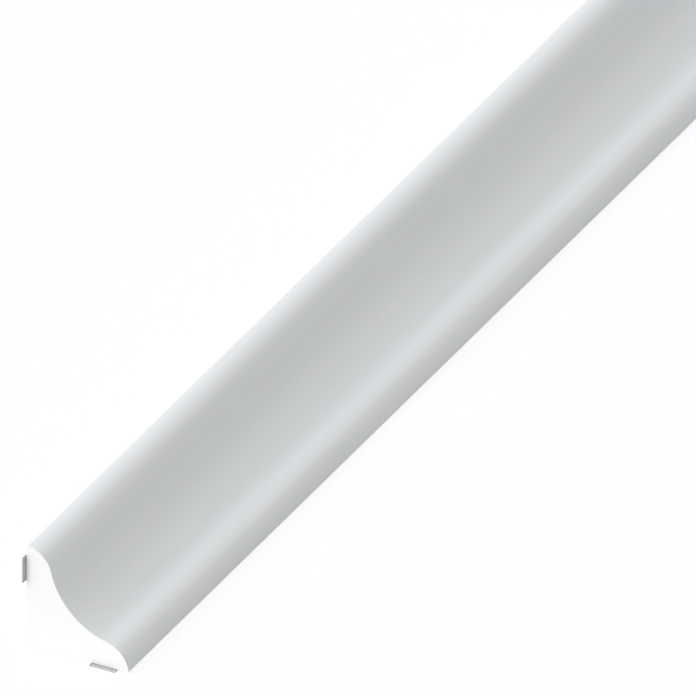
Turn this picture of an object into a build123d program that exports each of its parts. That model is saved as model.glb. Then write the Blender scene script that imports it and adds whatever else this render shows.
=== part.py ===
from build123d import *
import os
from math import atan2, degrees, sqrt

# A length of self-adhesive corner trim, in millimetres, as it lies on a level floor.
# +X runs along the floor leg away from the wall, +Y along the length and +Z up the wall leg.
# The origin is below the middle of the whole trim, on the floor.

# Stock length, and how far each tape runs on past each sawn end.
length = 1000.0
wall_tail = 1.3
floor_tail = 0.95

# Section of the extrusion: two equal legs, a rolled edge at each tip and a cove between the rolls.
leg = 22.0
roll_radius = 5.8
cove_radius = 16.2
# The roll's centre lies this far behind the back, so the roll meets the back at a crisp edge.
roll_setback = 0.3
# Small die radii where the two backs meet and where each roll meets its back.
heel_radius = 0.5
tip_radius = 0.25

# Self-adhesive tape on each back, and the release liner that covers it until it is fitted.
# The tape is laid by machine to within a few tenths, so each back has its own distance in from the tip.
tape_width = 5.5
wall_tape_inset = 2.1
floor_tape_inset = 2.45
tape_thickness = 0.16
liner_thickness = 0.08

# Where the heel stands, so that the liners' outer faces and the tips bound the whole.
stack = tape_thickness + liner_thickness
heel_x = (stack - leg) / 2
heel_z = stack
near_end = Plane(origin=(heel_x, -length / 2, heel_z), x_dir=(1, 0, 0), z_dir=(0, -1, 0))
wall_tape_end = near_end.offset(wall_tail)
wall_tape_length = length + 2 * wall_tail
floor_tape_end = near_end.offset(floor_tail)
floor_tape_length = length + 2 * floor_tail

# The roll at the floor leg's tip. It reaches the back exactly at the leg's length.
roll_x = leg - sqrt(roll_radius**2 - roll_setback**2)
roll_y = -roll_setback
# The cove's centre lies on the diagonal, where the cove just touches both rolls from outside:
# (cove - roll_x)^2 + (cove - roll_y)^2 = centre_distance^2
centre_distance = cove_radius + roll_radius
roll_mean = (roll_x + roll_y) / 2
roll_spread = (roll_x - roll_y) / 2
cove = roll_mean + sqrt(centre_distance**2 / 2 - roll_spread**2)

# Angles in the section, counted from the floor leg.
tip_angle = degrees(atan2(roll_setback, leg - roll_x))
touch_angle = degrees(atan2(cove - roll_y, cove - roll_x))
diagonal_angle = 45.0

# Mirroring across the diagonal turns the floor half of the section into the wall half.
diagonal = Plane(origin=(0, 0, 0), z_dir=(1, -1, 0))

# The extruded trim. Half of the outline is drawn, from the heel along the floor back to the tip,
# round the roll and down into the middle of the cove, and the other half mirrors it.
with BuildPart() as trim_profile:
    with BuildSketch(near_end) as section:
        with BuildLine() as outline:
            Line((0, 0), (leg, 0))
            CenterArc((roll_x, roll_y), roll_radius, tip_angle, touch_angle - tip_angle)
            CenterArc(
                (cove, cove),
                cove_radius,
                180 + touch_angle,
                diagonal_angle - touch_angle,
            )
            mirror(about=diagonal)
        make_face()
        corners = section.vertices().sort_by(SortBy.DISTANCE)
        fillet(corners[0], heel_radius)
        fillet(section.vertices().group_by(Axis.X)[-1], tip_radius)
        fillet(section.vertices().group_by(Axis.Y)[-1], tip_radius)
    extrude(amount=-length)


# Each strip is a flat ribbon that runs the full length. Along the leg, a tape and its liner share
# one middle line.
wall_middle = leg - wall_tape_inset - tape_width / 2
floor_middle = leg - floor_tape_inset - tape_width / 2
tape_depth = -tape_thickness / 2
liner_depth = -tape_thickness - liner_thickness / 2

with BuildPart() as floor_tape:
    with BuildSketch(floor_tape_end):
        with Locations((floor_middle, tape_depth)):
            Rectangle(tape_width, tape_thickness)
    extrude(amount=-floor_tape_length)

with BuildPart() as floor_liner:
    with BuildSketch(floor_tape_end):
        with Locations((floor_middle, liner_depth)):
            Rectangle(tape_width, liner_thickness)
    extrude(amount=-floor_tape_length)

with BuildPart() as wall_tape:
    with BuildSketch(wall_tape_end):
        with Locations((tape_depth, wall_middle)):
            Rectangle(tape_thickness, tape_width)
    extrude(amount=-wall_tape_length)

with BuildPart() as wall_liner:
    with BuildSketch(wall_tape_end):
        with Locations((liner_depth, wall_middle)):
            Rectangle(liner_thickness, tape_width)
    extrude(amount=-wall_tape_length)

pieces = {
    "trim_profile": trim_profile,
    "wall_tape": wall_tape,
    "wall_liner": wall_liner,
    "floor_tape": floor_tape,
    "floor_liner": floor_liner,
}
os.makedirs("parts", exist_ok=True)
for name, piece in pieces.items():
    piece.part.label = name
    export_step(piece.part, f"parts/{name}.step")
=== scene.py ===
import math

import bpy
from mathutils import Matrix, Vector


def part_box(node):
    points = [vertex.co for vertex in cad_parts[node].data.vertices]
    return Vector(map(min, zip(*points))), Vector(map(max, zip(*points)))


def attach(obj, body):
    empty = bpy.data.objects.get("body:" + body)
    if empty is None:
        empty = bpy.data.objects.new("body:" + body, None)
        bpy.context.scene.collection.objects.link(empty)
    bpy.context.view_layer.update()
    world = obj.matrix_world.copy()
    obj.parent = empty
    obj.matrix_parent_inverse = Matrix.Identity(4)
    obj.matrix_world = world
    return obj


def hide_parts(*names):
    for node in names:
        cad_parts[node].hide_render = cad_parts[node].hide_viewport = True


bl_info = {
    "name": "Cove Corner Trim",
    "version": (1, 0, 0),
    "blender": (4, 5, 0),
    "location": "View3D > Sidebar > Corner Trim",
    "description": "Finishes a length of self-adhesive cove trim around its packed frame",
    "category": "Add Mesh",
}

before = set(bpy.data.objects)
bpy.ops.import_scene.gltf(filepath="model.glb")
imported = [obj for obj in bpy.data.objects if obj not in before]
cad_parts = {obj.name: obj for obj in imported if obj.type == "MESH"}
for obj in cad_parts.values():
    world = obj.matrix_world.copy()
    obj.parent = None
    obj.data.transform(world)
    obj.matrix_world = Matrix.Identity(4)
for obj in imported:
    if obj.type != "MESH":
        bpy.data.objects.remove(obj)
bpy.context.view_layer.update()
MM = 0.001
# Points nearer to each other than this count as one.
WELD = 0.01 * MM

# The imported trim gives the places: its two backs meet at the heel, here at the near end.
TRIM_LOW, TRIM_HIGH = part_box("trim_profile")
HEEL = TRIM_LOW.copy()
LENGTH = TRIM_HIGH.y - TRIM_LOW.y
# The tapes' slit edges that face the heel: x of the floor tape's, and z of the wall tape's.
SLITS = Vector((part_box("floor_tape")[0].x, 0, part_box("wall_tape")[0].z))

# The photograph is this many pixels square, and its near heel corner shows at this pixel.
PHOTO_SIDE = 696
HEEL_PIXEL = (26.2, 644.8)


class TrimSizes(bpy.types.PropertyGroup):
    """Sizes of the extruded section, counted from the heel, where its two backs meet"""

    leg: bpy.props.FloatProperty(
        name="Leg",
        description="Width of each back, from the heel to the tip",
        default=22.0 * MM,
        unit="LENGTH",
    )
    roll_radius: bpy.props.FloatProperty(
        name="Roll Radius",
        description="Radius of the rolled edge at each tip",
        default=5.8 * MM,
        unit="LENGTH",
    )
    roll_setback: bpy.props.FloatProperty(
        name="Roll Setback",
        description="How far behind the back the centre of each roll lies",
        default=0.3 * MM,
        unit="LENGTH",
    )
    cove_radius: bpy.props.FloatProperty(
        name="Cove Radius",
        description="Radius of the hollow between the two rolls",
        default=16.2 * MM,
        unit="LENGTH",
    )
    heel_radius: bpy.props.FloatProperty(
        name="Heel Radius",
        description="Die radius where the two backs meet",
        default=0.5 * MM,
        unit="LENGTH",
    )
    tip_radius: bpy.props.FloatProperty(
        name="Tip Radius",
        description="Die radius where a roll meets its back",
        default=0.25 * MM,
        unit="LENGTH",
    )
    arris: bpy.props.FloatProperty(
        name="Arris",
        description="Broken edge round each sawn end",
        default=0.06 * MM,
        unit="LENGTH",
    )
    roll_steps: bpy.props.IntProperty(
        name="Roll Steps",
        description="Facets round each roll",
        default=24,
    )
    cove_steps: bpy.props.IntProperty(
        name="Cove Steps",
        description="Facets across the cove",
        default=32,
    )
    corner_steps: bpy.props.IntProperty(
        name="Corner Steps",
        description="Facets round each die radius",
        default=6,
    )
    bay: bpy.props.FloatProperty(
        name="Bay",
        description="Distance between the rings of vertices along the length",
        default=25.0 * MM,
        unit="LENGTH",
    )
    smooth_angle: bpy.props.FloatProperty(
        name="Smooth Angle",
        description="Largest turn between two facets of the section that still look round",
        default=math.radians(30.0),
        subtype="ANGLE",
    )


class StripSizes(bpy.types.PropertyGroup):
    """Sizes of the tapes and liners that their boxes don't give"""

    tape_edge: bpy.props.FloatProperty(
        name="Tape Edge",
        description="Radius that the roller presses on the tape's slit edges",
        default=0.05 * MM,
        unit="LENGTH",
    )
    liner_edge: bpy.props.FloatProperty(
        name="Liner Edge",
        description="Radius of the liner's slit edges",
        default=0.03 * MM,
        unit="LENGTH",
    )
    edge_steps: bpy.props.IntProperty(
        name="Edge Steps",
        description="Facets round each slit edge",
        default=3,
    )
    smooth_angle: bpy.props.FloatProperty(
        name="Smooth Angle",
        description="Largest turn between two facets of a strip that still look round",
        default=math.radians(50.0),
        subtype="ANGLE",
    )


class GrainSizes(bpy.types.PropertyGroup):
    """Sizes of the patterns in the finishes, and of the painted shade on the tape"""

    die_line: bpy.props.FloatProperty(
        name="Die Line",
        description="Spacing of the lines that the die draws along the skin",
        default=0.6 * MM,
        unit="LENGTH",
    )
    foam_cell: bpy.props.FloatProperty(
        name="Foam Cell",
        description="Size of the cells that the saw opens",
        default=0.35 * MM,
        unit="LENGTH",
    )
    saw_pitch: bpy.props.FloatProperty(
        name="Saw Pitch",
        description="Spacing of the marks that the saw's teeth leave",
        default=0.9 * MM,
        unit="LENGTH",
    )
    tape_cell: bpy.props.FloatProperty(
        name="Tape Cell",
        description="Size of the cells in the foam tape",
        default=0.3 * MM,
        unit="LENGTH",
    )
    # Width of the dark line of painted shade along the tape's slit edge by the heel.
    slit_shade_width: bpy.props.FloatProperty(
        name="Slit Shade Width",
        description="How far dust has caught on the glue along the tape's slit edge by the heel",
        default=0.3 * MM,
        unit="LENGTH",
    )
    # How far the painted shade in the crease reaches out from each sawn end.
    corner_shade_reach: bpy.props.FloatProperty(
        name="Corner Shade Reach",
        description="How far dust has settled on the tape out from the sawn end",
        default=0.45 * MM,
        unit="LENGTH",
    )
    liner_fibre: bpy.props.FloatProperty(
        name="Liner Fibre",
        description="Size of the clouds that the fibres make in the liner",
        default=1.6 * MM,
        unit="LENGTH",
    )
    cockle: bpy.props.FloatProperty(
        name="Cockle",
        description="Distance between the liner's damp ripples",
        default=9.0 * MM,
        unit="LENGTH",
    )


class FinishColours(bpy.types.PropertyGroup):
    """Colours of the finishes, as sRGB hex"""

    skin: bpy.props.StringProperty(
        name="Skin",
        description="White of the extruded skin",
        default="ECEEF0",
    )
    skin_line: bpy.props.StringProperty(
        name="Skin Line",
        description="The skin along its faint die lines",
        default="E8EBED",
    )
    sawn: bpy.props.StringProperty(
        name="Sawn Foam",
        description="White of the foam where the saw opened it",
        default="F8F9F8",
    )
    sawn_cell: bpy.props.StringProperty(
        name="Sawn Cell",
        description="The bottoms of the opened cells",
        default="F3F4F3",
    )
    tape: bpy.props.StringProperty(
        name="Tape",
        description="Grey of the foam tape",
        default="BBBCBC",
    )
    tape_cell: bpy.props.StringProperty(
        name="Tape Cell",
        description="The cells of the foam tape",
        default="B3B4B4",
    )
    # Colour of the painted shade on the tape, at its slit edge and by the sawn ends.
    tape_shade: bpy.props.StringProperty(
        name="Tape Shade",
        description="Dust that the tape's glue has caught",
        default="6E6F6F",
    )
    liner: bpy.props.StringProperty(
        name="Liner",
        description="Siliconised paper of the release liner",
        default="E4E4DF",
    )
    liner_fibre: bpy.props.StringProperty(
        name="Liner Fibre",
        description="The liner's denser fibres",
        default="DCDCD6",
    )
    floor: bpy.props.StringProperty(
        name="Floor",
        description="Pale studio floor",
        default="F4F4F4",
    )


class StageSettings(bpy.types.PropertyGroup):
    """Camera and lamps of the studio"""

    azimuth: bpy.props.FloatProperty(
        name="Azimuth",
        description="Camera's turn about the trim, from looking along its length",
        default=math.radians(28.0),
        subtype="ANGLE",
    )
    elevation: bpy.props.FloatProperty(
        name="Elevation",
        description="Camera's height above the horizon",
        default=math.radians(31.24),
        subtype="ANGLE",
    )
    view_width: bpy.props.FloatProperty(
        name="View Width",
        description="Width that the photograph takes in, square to the view",
        default=132.09 * MM,
        unit="LENGTH",
    )
    camera_distance: bpy.props.FloatProperty(
        name="Camera Distance",
        description="From the near heel corner to the camera",
        default=1.5,
        unit="LENGTH",
    )
    floor_side: bpy.props.FloatProperty(
        name="Floor Side",
        description="Side of the square floor",
        default=6.0,
        unit="LENGTH",
    )
    key_power: bpy.props.FloatProperty(
        name="Key Power",
        description="Strength of the soft key lamp, which lights the sawn end",
        default=2.3,
    )
    key_azimuth: bpy.props.FloatProperty(
        name="Key Azimuth",
        description="Turn of the key lamp about the trim, counted from +X towards +Y",
        default=math.radians(247.0),
        subtype="ANGLE",
    )
    key_elevation: bpy.props.FloatProperty(
        name="Key Elevation",
        description="Height of the key lamp above the horizon",
        default=math.radians(45.0),
        subtype="ANGLE",
    )
    key_spread: bpy.props.FloatProperty(
        name="Key Spread",
        description="Angle that the key lamp covers, which sets how soft its shadows are",
        default=math.radians(50.0),
        subtype="ANGLE",
    )
    side_power: bpy.props.FloatProperty(
        name="Side Power",
        description="Strength of the side lamp behind the wall leg, which lights the top of its roll",
        default=1.4,
    )
    side_azimuth: bpy.props.FloatProperty(
        name="Side Azimuth",
        description="Turn of the side lamp about the trim, counted from +X towards +Y",
        default=math.radians(180.0),
        subtype="ANGLE",
    )
    side_elevation: bpy.props.FloatProperty(
        name="Side Elevation",
        description="Height of the side lamp above the horizon",
        default=math.radians(45.0),
        subtype="ANGLE",
    )
    side_spread: bpy.props.FloatProperty(
        name="Side Spread",
        description="Angle that the side lamp covers, which sets how soft its shadows are",
        default=math.radians(20.0),
        subtype="ANGLE",
    )
    fill_power: bpy.props.FloatProperty(
        name="Fill Power",
        description="Strength of the soft fill lamp, which lights the front from the other side",
        default=0.57,
    )
    fill_azimuth: bpy.props.FloatProperty(
        name="Fill Azimuth",
        description="Turn of the fill lamp about the trim, counted from +X towards +Y",
        default=math.radians(45.0),
        subtype="ANGLE",
    )
    fill_elevation: bpy.props.FloatProperty(
        name="Fill Elevation",
        description="Height of the fill lamp above the horizon",
        default=math.radians(40.0),
        subtype="ANGLE",
    )
    fill_spread: bpy.props.FloatProperty(
        name="Fill Spread",
        description="Angle that the fill lamp covers, which sets how soft its shadows are",
        default=math.radians(50.0),
        subtype="ANGLE",
    )
    room_power: bpy.props.FloatProperty(
        name="Room Power",
        description="Strength of the even light from the white room",
        default=0.125,
    )
    floor_glow: bpy.props.FloatProperty(
        name="Floor Glow",
        description="Share of plain white mixed into the floor where it is seen directly",
        default=0.9,
        subtype="FACTOR",
    )


def linear(code):
    """A colour written as sRGB hex, as the linear values that a shader takes."""
    parts = [int(code[i : i + 2], 16) / 255 for i in (0, 2, 4)]
    return [c / 12.92 if c <= 0.04045 else ((c + 0.055) / 1.055) ** 2.4 for c in parts] + [1.0]


def add_node(tree, kind, inputs=None, **settings):
    """Adds a node with its settings. An input takes a value, or a socket to link."""
    node = tree.nodes.new(kind)
    for name, value in settings.items():
        setattr(node, name, value)
    for name, value in (inputs or {}).items():
        if isinstance(value, bpy.types.NodeSocket):
            tree.links.new(value, node.inputs[name])
        else:
            node.inputs[name].default_value = value
    return node


def new_material(name):
    material = bpy.data.materials.new(name)
    material.use_nodes = True
    material.node_tree.nodes.clear()
    return material


def shade(tree, colour, height, relief, strength, roughness, ior):
    """Ends a finish: a dielectric of this colour, whose pattern stands up by the relief."""
    bump = add_node(
        tree, "ShaderNodeBump", {"Height": height, "Strength": strength, "Distance": relief}
    )
    shader = add_node(
        tree,
        "ShaderNodeBsdfPrincipled",
        {
            "Base Color": colour,
            "Roughness": roughness,
            "IOR": ior,
            "Normal": bump.outputs["Normal"],
        },
    )
    add_node(tree, "ShaderNodeOutputMaterial", {"Surface": shader.outputs["BSDF"]})


def extruded_pvc(colours, grain):
    """Foamed rigid PVC, extruded through a cooled die: a closed even skin with a satin gloss, and
    lines along the length so faint that only the gloss shows them."""
    material = new_material("foamed_pvc_extruded_satin")
    tree = material.node_tree
    place = add_node(tree, "ShaderNodeTexCoord").outputs["Object"]
    # Die lines are about 0.1 mm apart. They are drawn wider, as fine as the render shows, and
    # each runs on for about 150 mm.
    across = 1 / grain.die_line
    along = add_node(
        tree, "ShaderNodeMapping", {"Vector": place, "Scale": (across, 1 / (150 * MM), across)}
    )
    lines = add_node(
        tree,
        "ShaderNodeTexNoise",
        {"Vector": along.outputs["Vector"], "Scale": 1.0, "Detail": 2.0, "Roughness": 0.5},
    )
    colour = add_node(
        tree,
        "ShaderNodeMix",
        {
            "Factor": lines.outputs["Fac"],
            "A": linear(colours.skin_line),
            "B": linear(colours.skin),
        },
        data_type="RGBA",
    )
    shade(
        tree,
        colour.outputs["Result"],
        lines.outputs["Fac"],
        relief=0.003 * MM,
        strength=0.25,
        roughness=0.42,
        ior=1.53,
    )
    return material


def sawn_pvc(colours, grain):
    """The same foam where a fine saw cut it: matt, with opened cells and shallow tooth marks."""
    material = new_material("foamed_pvc_sawn")
    tree = material.node_tree
    place = add_node(tree, "ShaderNodeTexCoord").outputs["Object"]
    cells = add_node(
        tree, "ShaderNodeTexVoronoi", {"Vector": place, "Scale": 1 / grain.foam_cell}
    )
    # A wave texture's own bands are a tenth of pi apart at scale 1.
    teeth = add_node(
        tree,
        "ShaderNodeTexWave",
        {
            "Vector": place,
            "Scale": math.pi / 10 / grain.saw_pitch,
            "Distortion": 0.6,
            "Detail": 1.0,
        },
        wave_type="BANDS",
        bands_direction="Z",
    )
    colour = add_node(
        tree,
        "ShaderNodeMix",
        {
            "Factor": cells.outputs["Distance"],
            "A": linear(colours.sawn_cell),
            "B": linear(colours.sawn),
        },
        data_type="RGBA",
    )
    height = add_node(
        tree,
        "ShaderNodeMath",
        {0: cells.outputs["Distance"], 1: teeth.outputs["Fac"]},
        operation="ADD",
    )
    shade(
        tree,
        colour.outputs["Result"],
        height.outputs["Value"],
        relief=0.008 * MM,
        strength=0.3,
        roughness=0.7,
        ior=1.53,
    )
    return material


def foam_tape(colours, grain):
    """Grey polyethylene foam tape, cast and slit: a soft matt face of closed cells under its glue,
    with painted shade as a dark line along the slit edge that faces the heel and in the crease by the
    sawn end."""
    material = new_material("polyethylene_foam_tape_grey")
    tree = material.node_tree
    place = add_node(tree, "ShaderNodeTexCoord").outputs["Object"]
    cells = add_node(
        tree, "ShaderNodeTexVoronoi", {"Vector": place, "Scale": 1 / grain.tape_cell}
    )
    bare_tape = add_node(
        tree,
        "ShaderNodeMix",
        {
            "Factor": cells.outputs["Distance"],
            "A": linear(colours.tape_cell),
            "B": linear(colours.tape),
        },
        data_type="RGBA",
    )
    # The larger of the two distances is the one along whichever back the tape is on.
    from_slits = add_node(
        tree, "ShaderNodeVectorMath", {0: place, 1: SLITS}, operation="SUBTRACT"
    )
    parts = add_node(tree, "ShaderNodeSeparateXYZ", {"Vector": from_slits.outputs["Vector"]})
    past_slit = add_node(
        tree,
        "ShaderNodeMath",
        {0: parts.outputs["X"], 1: parts.outputs["Z"]},
        operation="MAXIMUM",
    )
    from_middle = add_node(
        tree, "ShaderNodeMath", {0: parts.outputs["Y"]}, operation="ABSOLUTE"
    )
    # Painted shade: a dark line along the slit edge, which fades out over the last third of its
    # width.
    shade_at_slit = add_node(
        tree,
        "ShaderNodeMapRange",
        {
            "Value": past_slit.outputs["Value"],
            "From Min": grain.slit_shade_width * 2 / 3,
            "From Max": grain.slit_shade_width,
        },
    )
    # Painted shade in the crease by each sawn end and along all the tape under the trim, less than
    # half as dark, fading out over the last half.
    shade_at_corner = add_node(
        tree,
        "ShaderNodeMapRange",
        {
            "Value": from_middle.outputs["Value"],
            "From Min": TRIM_HIGH.y + grain.corner_shade_reach / 2,
            "From Max": TRIM_HIGH.y + grain.corner_shade_reach,
            "To Min": 0.6,
        },
    )
    # Where either mask is low, the tape is darkened towards the painted shade's colour.
    unshaded = add_node(
        tree,
        "ShaderNodeMath",
        {0: shade_at_slit.outputs["Result"], 1: shade_at_corner.outputs["Result"]},
        operation="MULTIPLY",
    )
    colour = add_node(
        tree,
        "ShaderNodeMix",
        {
            "Factor": unshaded.outputs["Value"],
            "A": linear(colours.tape_shade),
            "B": bare_tape.outputs["Result"],
        },
        data_type="RGBA",
    )
    shade(
        tree,
        colour.outputs["Result"],
        cells.outputs["Distance"],
        relief=0.01 * MM,
        strength=0.4,
        roughness=0.6,
        ior=1.48,
    )
    return material


def release_liner(colours, grain):
    """Glassine paper with a silicone coat: smooth and faintly glossy over a cloud of fibres, and
    slightly cockled where it has taken up damp."""
    material = new_material("glassine_liner_siliconised")
    tree = material.node_tree
    place = add_node(tree, "ShaderNodeTexCoord").outputs["Object"]
    # The fibres lie mostly along the web, so their clouds are twice as long as wide.
    across = 1 / grain.liner_fibre
    along = add_node(
        tree, "ShaderNodeMapping", {"Vector": place, "Scale": (across, across / 2, across)}
    )
    fibres = add_node(
        tree,
        "ShaderNodeTexNoise",
        {"Vector": along.outputs["Vector"], "Scale": 1.0, "Detail": 5.0, "Roughness": 0.6},
    )
    cockle = add_node(
        tree,
        "ShaderNodeTexNoise",
        {"Vector": place, "Scale": 1 / grain.cockle, "Detail": 1.0},
    )
    colour = add_node(
        tree,
        "ShaderNodeMix",
        {
            "Factor": fibres.outputs["Fac"],
            "A": linear(colours.liner_fibre),
            "B": linear(colours.liner),
        },
        data_type="RGBA",
    )
    shade(
        tree,
        colour.outputs["Result"],
        cockle.outputs["Fac"],
        relief=0.15 * MM,
        strength=0.3,
        roughness=0.38,
        ior=1.45,
    )
    return material


def start_piece(context):
    """Puts a new primitive's place into its mesh, and opens it for editing."""
    bpy.ops.object.transform_apply(location=True, rotation=True, scale=True)
    bpy.ops.object.mode_set(mode="EDIT")
    return context.active_object


def pick(piece, kind, wanted):
    """Selects the vertices, edges or faces of the piece that wanted says, and no others."""
    modes = {"vertices": "VERT", "edges": "EDGE", "polygons": "FACE"}
    bpy.ops.mesh.select_mode(type=modes[kind])
    bpy.ops.mesh.select_all(action="DESELECT")
    bpy.ops.object.mode_set(mode="OBJECT")
    for part in getattr(piece.data, kind):
        part.select = wanted(part)
    bpy.ops.object.mode_set(mode="EDIT")


def edge_ends(piece, edge):
    return [piece.data.vertices[i].co for i in edge.vertices]


def pick_along(piece):
    """Selects the edges that run along the length."""

    def runs_along(edge):
        start, end = edge_ends(piece, edge)
        return abs(end.y - start.y) > WELD

    pick(piece, "edges", runs_along)


def pick_saw_edges(piece):
    """Selects the edges round the two sawn ends."""

    def on_end(point):
        return min(abs(point.y - TRIM_LOW.y), abs(point.y - TRIM_HIGH.y)) < WELD

    pick(piece, "edges", lambda edge: all(on_end(point) for point in edge_ends(piece, edge)))


def cut_into_bays(context, piece):
    """Cuts the edges that run along the length, so that a ring of vertices stands at each bay."""
    pick_along(piece)
    bpy.ops.mesh.subdivide(number_cuts=round(LENGTH / context.scene.trim_sizes.bay) - 1)


def finish_piece(piece, name, smooth_angle):
    """Closes editing, smooths the round stretches and keeps the flat ones flat."""
    bpy.ops.mesh.select_all(action="SELECT")
    bpy.ops.mesh.normals_make_consistent(inside=False)
    bpy.ops.mesh.select_mode(type="VERT")
    bpy.ops.mesh.select_all(action="DESELECT")
    bpy.ops.mesh.select_non_manifold()
    bpy.ops.object.mode_set(mode="OBJECT")
    if any(vertex.select for vertex in piece.data.vertices):
        raise RuntimeError(name + " isn't a closed mesh")
    bpy.ops.object.shade_smooth_by_angle(angle=smooth_angle)
    weigh = piece.modifiers.new("flat faces stay flat", "WEIGHTED_NORMAL")
    weigh.keep_sharp = True
    bpy.ops.object.modifier_apply(modifier=weigh.name)
    piece.name = name
    piece.data.name = name
    bpy.ops.object.select_all(action="DESELECT")


class CORNERTRIM_OT_profile(bpy.types.Operator):
    """Model the extruded trim: the backs, the rolls and the cove, drawn out to length and sawn"""

    bl_idname = "cornertrim.profile"
    bl_label = "Trim Profile"

    def execute(self, context):
        sizes = context.scene.trim_sizes
        leg = sizes.leg
        bpy.ops.object.select_all(action="DESELECT")

        # The section's frame: rolls, then the cove's centre on the diagonal, touching both.
        roll_far = leg - math.sqrt(sizes.roll_radius**2 - sizes.roll_setback**2)
        roll_near = -sizes.roll_setback
        reach = sizes.cove_radius + sizes.roll_radius
        half_spread = (roll_far - roll_near) / 2
        cove = (roll_far + roll_near) / 2 + math.sqrt(reach**2 / 2 - half_spread**2)
        tip_angle = math.atan2(sizes.roll_setback, leg - roll_far)
        touch_angle = math.atan2(cove - roll_near, cove - roll_far)
        roll_turn = touch_angle - tip_angle
        cove_turn = 2 * touch_angle - math.pi / 2

        def section(x, z):
            return HEEL + Vector((x, 0, z))

        def pick_corner(*corners):
            pick(piece, "vertices", lambda v: min((v.co - c).length for c in corners) < WELD)

        # A square of the leg's size stands in the near end, and loses its open corner.
        bpy.ops.mesh.primitive_plane_add(
            size=leg, location=section(leg / 2, leg / 2), rotation=(math.pi / 2, 0, 0)
        )
        piece = start_piece(context)
        pick_corner(section(leg, leg))
        bpy.ops.mesh.delete(type="VERT")

        # The floor tip is spun round its roll, on through the cove and round the wall roll.
        pick_corner(section(leg, 0))
        for x, z, turn, steps in (
            (roll_far, roll_near, roll_turn, sizes.roll_steps),
            (cove, cove, -cove_turn, sizes.cove_steps),
            (roll_near, roll_far, roll_turn, sizes.roll_steps),
        ):
            bpy.ops.mesh.spin(steps=steps, angle=turn, center=section(x, z), axis=(0, 1, 0))
        bpy.ops.mesh.select_all(action="SELECT")
        bpy.ops.mesh.remove_doubles(threshold=WELD)
        bpy.ops.mesh.select_all(action="SELECT")
        bpy.ops.mesh.edge_face_add()

        # Die radii at the heel and the tips.
        pick_corner(section(0, 0))
        bpy.ops.mesh.bevel(
            affect="VERTICES", offset=sizes.heel_radius, segments=sizes.corner_steps
        )
        pick_corner(section(leg, 0), section(0, leg))
        bpy.ops.mesh.bevel(
            affect="VERTICES", offset=sizes.tip_radius, segments=sizes.corner_steps
        )

        # The section is drawn out to the full length, in bays.
        bpy.ops.mesh.select_all(action="SELECT")
        bpy.ops.mesh.extrude_region_move(TRANSFORM_OT_translate={"value": (0, LENGTH, 0)})
        cut_into_bays(context, piece)

        # The saw leaves a broken arris round each end.
        pick_saw_edges(piece)
        bpy.ops.mesh.bevel(affect="EDGES", offset=sizes.arris, segments=1)

        finish_piece(piece, "cove_trim", sizes.smooth_angle)
        colours, grain = context.scene.finish_colours, context.scene.grain_sizes
        piece.data.materials.append(extruded_pvc(colours, grain))
        piece.data.materials.append(sawn_pvc(colours, grain))
        # The ends and their arrises, which lean at 45 degrees to the length, are sawn foam.
        least_lean = math.cos(math.radians(60.0))
        for face in piece.data.polygons:
            face.material_index = int(abs(face.normal.y) > least_lean)
        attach(piece, "root")
        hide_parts("trim_profile")
        return {"FINISHED"}


def model_ribbon(context, node, edge, material):
    """Models a strip that runs past both ends of the trim, with its long edges slightly round."""
    sizes = context.scene.strip_sizes
    low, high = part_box(node)
    bpy.ops.object.select_all(action="DESELECT")
    bpy.ops.mesh.primitive_cube_add(size=1, location=(low + high) / 2, scale=high - low)
    piece = start_piece(context)
    pick_along(piece)
    bpy.ops.mesh.bevel(affect="EDGES", offset=edge, segments=sizes.edge_steps)
    cut_into_bays(context, piece)
    finish_piece(piece, node + "_strip", sizes.smooth_angle)
    piece.data.materials.append(material)
    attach(piece, "root")
    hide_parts(node)


class CORNERTRIM_OT_tapes(bpy.types.Operator):
    """Model the self-adhesive tape on each back"""

    bl_idname = "cornertrim.tapes"
    bl_label = "Tapes"

    def execute(self, context):
        material = foam_tape(context.scene.finish_colours, context.scene.grain_sizes)
        edge = context.scene.strip_sizes.tape_edge
        for node in ("wall_tape", "floor_tape"):
            model_ribbon(context, node, edge, material)
        return {"FINISHED"}


class CORNERTRIM_OT_liners(bpy.types.Operator):
    """Model the release liner over each tape"""

    bl_idname = "cornertrim.liners"
    bl_label = "Release Liners"

    def execute(self, context):
        material = release_liner(context.scene.finish_colours, context.scene.grain_sizes)
        edge = context.scene.strip_sizes.liner_edge
        for node in ("wall_liner", "floor_liner"):
            model_ribbon(context, node, edge, material)
        return {"FINISHED"}


def seen_directly(tree):
    """1 where a surface is seen by the camera, in gloss or through glass, and 0 in other light."""
    path = add_node(tree, "ShaderNodeLightPath")
    gloss = add_node(
        tree,
        "ShaderNodeMath",
        {0: path.outputs["Is Camera Ray"], 1: path.outputs["Is Glossy Ray"]},
        operation="MAXIMUM",
    )
    glass = add_node(
        tree,
        "ShaderNodeMath",
        {0: gloss.outputs["Value"], 1: path.outputs["Is Transmission Ray"]},
        operation="MAXIMUM",
    )
    return glass.outputs["Value"]


def direction(turn, rise):
    """A unit vector at this turn from +X towards +Y, and this height above the horizon."""
    flat = math.cos(rise)
    return Vector((math.cos(turn) * flat, math.sin(turn) * flat, math.sin(rise)))


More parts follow.
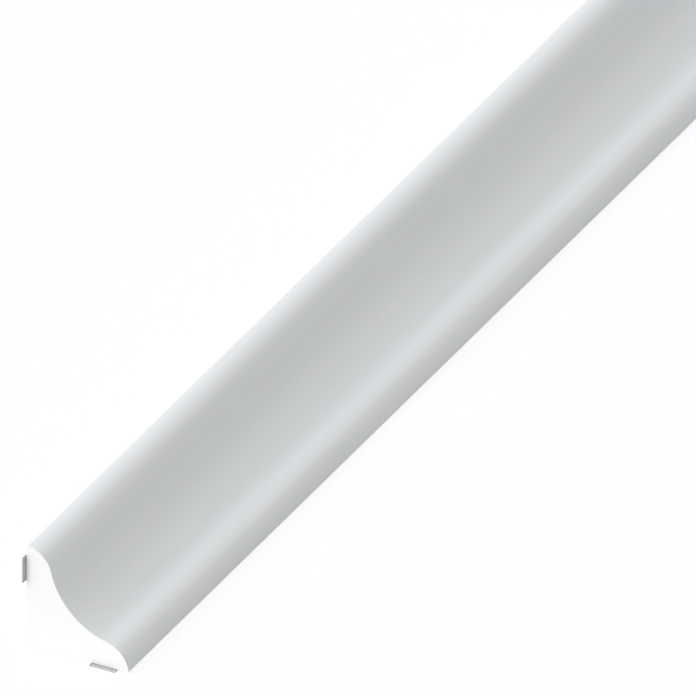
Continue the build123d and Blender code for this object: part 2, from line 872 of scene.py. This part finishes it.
class CORNERTRIM_OT_stage(bpy.types.Operator):
    """Set the white floor, the room's light, the three soft lamps and the camera"""

    bl_idname = "cornertrim.stage"
    bl_label = "Stage"

    def execute(self, context):
        settings = context.scene.stage_settings
        self.lay_floor(context, settings)
        self.light_room(context, settings)
        for name in ("key", "side", "fill"):
            self.hang_lamp(context, settings, name)
        self.place_camera(context, settings)
        context.scene.view_settings.view_transform = "Standard"
        return {"FINISHED"}

    def lay_floor(self, context, settings):
        bpy.ops.object.select_all(action="DESELECT")
        bpy.ops.mesh.primitive_plane_add(size=settings.floor_side)
        floor = context.active_object
        floor.name = "studio_floor"
        material = new_material("painted_floor_white")
        tree = material.node_tree
        paint = add_node(
            tree,
            "ShaderNodeBsdfDiffuse",
            {"Color": linear(context.scene.finish_colours.floor)},
        )
        # Where it is seen directly the floor is mostly plain white, with a trace of the shadow.
        glow = add_node(tree, "ShaderNodeEmission", {"Strength": 1.0})
        share = add_node(
            tree,
            "ShaderNodeMath",
            {0: seen_directly(tree), 1: settings.floor_glow},
            operation="MULTIPLY",
        )
        mixed = add_node(
            tree,
            "ShaderNodeMixShader",
            {0: share.outputs["Value"], 1: paint.outputs["BSDF"], 2: glow.outputs["Emission"]},
        )
        add_node(tree, "ShaderNodeOutputMaterial", {"Surface": mixed.outputs["Shader"]})
        floor.data.materials.append(material)

    def light_room(self, context, settings):
        world = bpy.data.worlds.new("white_room")
        context.scene.world = world
        world.use_nodes = True
        tree = world.node_tree
        tree.nodes.clear()
        strength = add_node(
            tree,
            "ShaderNodeMix",
            {"Factor": seen_directly(tree), "A": settings.room_power, "B": 1.0},
        )
        room = add_node(
            tree,
            "ShaderNodeBackground",
            {"Color": linear("FFFFFF"), "Strength": strength.outputs["Result"]},
        )
        add_node(tree, "ShaderNodeOutputWorld", {"Surface": room.outputs["Background"]})

    def hang_lamp(self, context, settings, name):
        lamp = bpy.data.lights.new(name + "_lamp", "SUN")
        lamp.energy = getattr(settings, name + "_power")
        lamp.angle = getattr(settings, name + "_spread")
        turn = getattr(settings, name + "_azimuth")
        rise = getattr(settings, name + "_elevation")
        hung = bpy.data.objects.new(name + "_lamp", lamp)
        hung.rotation_euler = direction(turn, rise).to_track_quat("Z", "Y").to_euler()
        context.scene.collection.objects.link(hung)

    def place_camera(self, context, settings):
        camera = bpy.data.cameras.new("photo_camera")
        camera.type = "ORTHO"
        camera.ortho_scale = settings.view_width
        turn = settings.azimuth
        rise = settings.elevation
        back = direction(turn - math.pi / 2, rise)
        right = direction(turn, 0)
        up = back.cross(right)
        pixel = settings.view_width / PHOTO_SIDE
        middle = (
            HEEL
            + right * (PHOTO_SIDE / 2 - HEEL_PIXEL[0]) * pixel
            + up * (HEEL_PIXEL[1] - PHOTO_SIDE / 2) * pixel
        )
        seat = bpy.data.objects.new("photo_camera", camera)
        axes = Matrix((right, up, back)).transposed().to_4x4()
        seat.matrix_world = Matrix.Translation(middle + back * settings.camera_distance) @ axes
        context.scene.collection.objects.link(seat)
        context.scene.camera = seat


class CORNERTRIM_PT_panel(bpy.types.Panel):
    """Lists the steps that build the trim, and the sizes and colours that they read"""

    bl_label = "Corner Trim"
    bl_idname = "CORNERTRIM_PT_panel"
    bl_space_type = "VIEW_3D"
    bl_region_type = "UI"
    bl_category = "Corner Trim"

    def draw(self, context):
        for step in STEPS:
            self.layout.operator(step.bl_idname)
        for group in GROUPS:
            settings = getattr(context.scene, group)
            for name in settings.__annotations__:
                self.layout.prop(settings, name)


STEPS = (
    CORNERTRIM_OT_profile,
    CORNERTRIM_OT_tapes,
    CORNERTRIM_OT_liners,
    CORNERTRIM_OT_stage,
)
GROUPS = {
    "trim_sizes": TrimSizes,
    "strip_sizes": StripSizes,
    "grain_sizes": GrainSizes,
    "finish_colours": FinishColours,
    "stage_settings": StageSettings,
}


def register():
    for kind in (*GROUPS.values(), *STEPS, CORNERTRIM_PT_panel):
        bpy.utils.register_class(kind)
    for name, group in GROUPS.items():
        setattr(bpy.types.Scene, name, bpy.props.PointerProperty(type=group))


def unregister():
    for name in GROUPS:
        delattr(bpy.types.Scene, name)
    for kind in reversed((*GROUPS.values(), *STEPS, CORNERTRIM_PT_panel)):
        bpy.utils.unregister_class(kind)


def main():
    register()
    bpy.ops.cornertrim.profile()
    bpy.ops.cornertrim.tapes()
    bpy.ops.cornertrim.liners()
    bpy.ops.cornertrim.stage()


if __name__ == "__main__":
    main()
